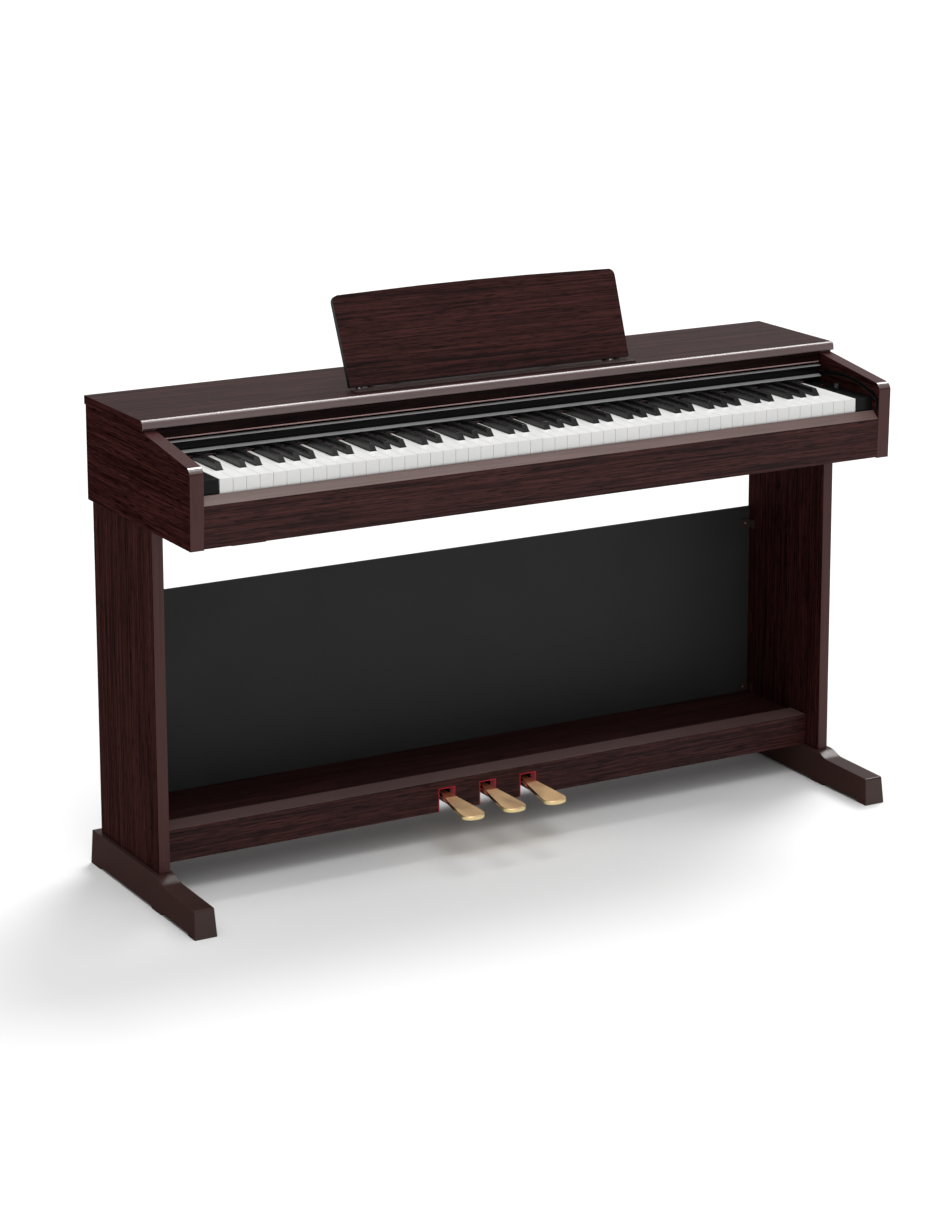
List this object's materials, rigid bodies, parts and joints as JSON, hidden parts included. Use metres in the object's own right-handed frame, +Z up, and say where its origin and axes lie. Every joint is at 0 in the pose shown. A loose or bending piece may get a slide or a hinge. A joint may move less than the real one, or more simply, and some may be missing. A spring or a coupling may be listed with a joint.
{
  "type": "digital piano on stand",
  "caption": "Home digital piano with a rosewood-look cabinet on two side legs, weighted keys, a sliding key cover, a folding music rest and three pedals.",
  "frame": {"origin": "on the floor, midway between the feet in width and depth", "axes": "+X to the player's right, +Y to the back, +Z up"},
  "size_m": [1.357, 0.422, 0.9715],
  "materials": {
    "rosewood_horizontal": "satin rosewood-look laminate, grain along the panel",
    "rosewood_vertical": "satin rosewood-look laminate, grain upright",
    "black_panel": "satin black",
    "gloss_black": "glossy black moulding",
    "white_key": "white key plastic with a soft gloss",
    "black_key": "matt black key plastic",
    "brown_plastic": "brown satin moulding",
    "back_board": "black-faced fibreboard",
    "brass": "brushed top, polished edge",
    "steel": "zinc-plated steel",
    "red_felt": "red felt",
    "rubber": "moulded rubber",
    "chassis": "dark coated chassis",
    "circuit": "green solder mask"
  },
  "bodies": {
    "cabinet": {"top_board": "rosewood_horizontal", "side_panel_left": "rosewood_horizontal", "side_panel_right": "rosewood_horizontal", "rear_panel": "rosewood_horizontal", "key_bed": "rosewood_horizontal", "key_slip": "rosewood_horizontal", "end_blocks": "black_panel", "control_panel": "black_panel", "key_felt": "red_felt", "cover_tracks": "black_panel", "music_rest_base": "brown_plastic", "key_frame": "chassis", "key_pivot_shaft": "steel", "key_contact_strip": "rubber", "circuit_board": "circuit", "speakers": "chassis", "speaker_grilles": "black_panel", "jack_boxes": "black_panel", "leg_left": "rosewood_vertical", "leg_right": "rosewood_vertical", "foot_left": "brown_plastic", "foot_right": "brown_plastic", "back_board": "back_board", "pedal_box": "rosewood_horizontal", "pedal_frame": "steel", "pedal_felt": "red_felt", "pedal_shaft": "steel", "pedal_springs": "steel", "brackets": "brown_plastic", "screws": "steel"},
    "cover_carriage": {"key_cover_carriage": "steel"},
    "cover": {"key_cover": "rosewood_horizontal", "key_cover_front": "rosewood_horizontal"},
    "rest": {"music_rest": "rosewood_horizontal"},
    "rest_props": {"music_rest_props": "steel"},
    "knob": {"volume_knob": "gloss_black"},
    "power": {"power_button": "gloss_black"},
    "song": {"song_button": "gloss_black"},
    "metronome": {"metronome_button": "gloss_black"},
    "voice": {"voice_button": "gloss_black"},
    "pedal_left": {"soft_pedal": "brass"},
    "pedal_middle": {"sostenuto_pedal": "brass"},
    "pedal_right": {"damper_pedal": "brass"},
    "adjuster": {"height_adjuster": "black_panel"},
    "key_c4": {"key_c4": "white_key"},
    "key_cs4": {"key_cs4": "black_key"},
    "key_d4": {"key_d4": "white_key"},
    "key_ds4": {"key_ds4": "black_key"},
    "key_e4": {"key_e4": "white_key"},
    "key_f4": {"key_f4": "white_key"},
    "key_fs4": {"key_fs4": "black_key"},
    "key_g4": {"key_g4": "white_key"},
    "key_gs4": {"key_gs4": "black_key"},
    "key_a4": {"key_a4": "white_key"},
    "key_as4": {"key_as4": "black_key"},
    "key_b4": {"key_b4": "white_key"},
    "white_keys_bass": {"white_keys_bass": "white_key"},
    "black_keys_bass": {"black_keys_bass": "black_key"},
    "white_keys_treble": {"white_keys_treble": "white_key"},
    "black_keys_treble": {"black_keys_treble": "black_key"}
  },
  "joints": [
    {"name": "cover_slide", "type": "slide", "parent": "cabinet", "child": "cover_carriage", "axis": [0, -1, 0], "range_m": [0, 0.165]},
    {"name": "cover_tilt", "type": "hinge", "parent": "cover_carriage", "child": "cover", "pos_m": [0, 0.141, 0.792], "axis": [1, 0, 0], "range_deg": [0, 10.4]},
    {"name": "height_adjuster_screw", "type": "slide", "parent": "cabinet", "child": "adjuster", "axis": [0, 0, 1], "range_m": [-0.003, 0.007]},
    {"name": "music_rest_fold", "type": "hinge", "parent": "cabinet", "child": "rest", "pos_m": [-0.006, 0.014, 0.823], "axis": [1, 0, 0], "range_deg": [-68.5, 0]},
    {"name": "music_rest_prop_fold", "type": "hinge", "parent": "rest", "child": "rest_props", "pos_m": [-0.006, 0.04312, 0.88247], "axis": [1, 0, 0], "range_deg": [0, 123.55]},
    {"name": "pedal_soft", "type": "hinge", "parent": "cabinet", "child": "pedal_left", "pos_m": [0, 0.11, 0.087], "axis": [1, 0, 0], "range_deg": [0, 7], "stiffness_Nm_per_rad": 12, "springref_deg": -6.88},
    {"name": "pedal_sostenuto", "type": "hinge", "parent": "cabinet", "child": "pedal_middle", "pos_m": [0, 0.11, 0.087], "axis": [1, 0, 0], "range_deg": [0, 7], "stiffness_Nm_per_rad": 12, "springref_deg": -6.88},
    {"name": "pedal_damper", "type": "hinge", "parent": "cabinet", "child": "pedal_right", "pos_m": [0, 0.11, 0.087], "axis": [1, 0, 0], "range_deg": [0, 7], "stiffness_Nm_per_rad": 12, "springref_deg": -6.88},
    {"name": "power_button_press", "type": "slide", "parent": "cabinet", "child": "power", "axis": [0, 0, -1], "range_m": [0, 0.001], "stiffness_N_per_m": 400, "springref_m": -0.0008},
    {"name": "song_button_press", "type": "slide", "parent": "cabinet", "child": "song", "axis": [0, 0, -1], "range_m": [0, 0.001], "stiffness_N_per_m": 400, "springref_m": -0.0008},
    {"name": "metronome_button_press", "type": "slide", "parent": "cabinet", "child": "metronome", "axis": [0, 0, -1], "range_m": [0, 0.001], "stiffness_N_per_m": 400, "springref_m": -0.0008},
    {"name": "voice_button_press", "type": "slide", "parent": "cabinet", "child": "voice", "axis": [0, 0, -1], "range_m": [0, 0.001], "stiffness_N_per_m": 400, "springref_m": -0.0008},
    {"name": "volume_knob_turn", "type": "hinge", "parent": "cabinet", "child": "knob", "pos_m": [0.62975, -0.11, 0.745], "axis": [0, 0, 1], "range_deg": [-150, 150]},
    {"name": "white_key_c4", "type": "hinge", "parent": "cabinet", "child": "key_c4", "pos_m": [0, 0.0195, 0.735], "axis": [1, 0, 0], "range_deg": [0, 2.6], "stiffness_Nm_per_rad": 1.6, "springref_deg": -4.58},
    {"name": "sharp_key_cs4", "type": "hinge", "parent": "cabinet", "child": "key_cs4", "pos_m": [0, 0.0195, 0.735], "axis": [1, 0, 0], "range_deg": [0, 3.2], "stiffness_Nm_per_rad": 1.4, "springref_deg": -4.58},
    {"name": "white_key_d4", "type": "hinge", "parent": "cabinet", "child": "key_d4", "pos_m": [0, 0.0195, 0.735], "axis": [1, 0, 0], "range_deg": [0, 2.6], "stiffness_Nm_per_rad": 1.6, "springref_deg": -4.58},
    {"name": "sharp_key_ds4", "type": "hinge", "parent": "cabinet", "child": "key_ds4", "pos_m": [0, 0.0195, 0.735], "axis": [1, 0, 0], "range_deg": [0, 3.2], "stiffness_Nm_per_rad": 1.4, "springref_deg": -4.58},
    {"name": "white_key_e4", "type": "hinge", "parent": "cabinet", "child": "key_e4", "pos_m": [0, 0.0195, 0.735], "axis": [1, 0, 0], "range_deg": [0, 2.6], "stiffness_Nm_per_rad": 1.6, "springref_deg": -4.58},
    {"name": "white_key_f4", "type": "hinge", "parent": "cabinet", "child": "key_f4", "pos_m": [0, 0.0195, 0.735], "axis": [1, 0, 0], "range_deg": [0, 2.6], "stiffness_Nm_per_rad": 1.6, "springref_deg": -4.58},
    {"name": "sharp_key_fs4", "type": "hinge", "parent": "cabinet", "child": "key_fs4", "pos_m": [0, 0.0195, 0.735], "axis": [1, 0, 0], "range_deg": [0, 3.2], "stiffness_Nm_per_rad": 1.4, "springref_deg": -4.58},
    {"name": "white_key_g4", "type": "hinge", "parent": "cabinet", "child": "key_g4", "pos_m": [0, 0.0195, 0.735], "axis": [1, 0, 0], "range_deg": [0, 2.6], "stiffness_Nm_per_rad": 1.6, "springref_deg": -4.58},
    {"name": "sharp_key_gs4", "type": "hinge", "parent": "cabinet", "child": "key_gs4", "pos_m": [0, 0.0195, 0.735], "axis": [1, 0, 0], "range_deg": [0, 3.2], "stiffness_Nm_per_rad": 1.4, "springref_deg": -4.58},
    {"name": "white_key_a4", "type": "hinge", "parent": "cabinet", "child": "key_a4", "pos_m": [0, 0.0195, 0.735], "axis": [1, 0, 0], "range_deg": [0, 2.6], "stiffness_Nm_per_rad": 1.6, "springref_deg": -4.58},
    {"name": "sharp_key_as4", "type": "hinge", "parent": "cabinet", "child": "key_as4", "pos_m": [0, 0.0195, 0.735], "axis": [1, 0, 0], "range_deg": [0, 3.2], "stiffness_Nm_per_rad": 1.4, "springref_deg": -4.58},
    {"name": "white_key_b4", "type": "hinge", "parent": "cabinet", "child": "key_b4", "pos_m": [0, 0.0195, 0.735], "axis": [1, 0, 0], "range_deg": [0, 2.6], "stiffness_Nm_per_rad": 1.6, "springref_deg": -4.58},
    {"name": "white_keys_bass", "type": "hinge", "parent": "cabinet", "child": "white_keys_bass", "pos_m": [0, 0.0195, 0.735], "axis": [1, 0, 0], "range_deg": [0, 2.6], "stiffness_Nm_per_rad": 36.8, "springref_deg": -4.58},
    {"name": "sharp_keys_bass", "type": "hinge", "parent": "cabinet", "child": "black_keys_bass", "pos_m": [0, 0.0195, 0.735], "axis": [1, 0, 0], "range_deg": [0, 3.2], "stiffness_Nm_per_rad": 22.4, "springref_deg": -4.58},
    {"name": "white_keys_treble", "type": "hinge", "parent": "cabinet", "child": "white_keys_treble", "pos_m": [0, 0.0195, 0.735], "axis": [1, 0, 0], "range_deg": [0, 2.6], "stiffness_Nm_per_rad": 35.2, "springref_deg": -4.58},
    {"name": "sharp_keys_treble", "type": "hinge", "parent": "cabinet", "child": "black_keys_treble", "pos_m": [0, 0.0195, 0.735], "axis": [1, 0, 0], "range_deg": [0, 3.2], "stiffness_Nm_per_rad": 21, "springref_deg": -4.58}
  ],
  "couplings": [
    {"joint": "cover_tilt", "follows": "cover_slide", "rad_per_m": 1.099},
    {"joint": "music_rest_prop_fold", "follows": "music_rest_fold", "ratio": -1.8029}
  ]
}
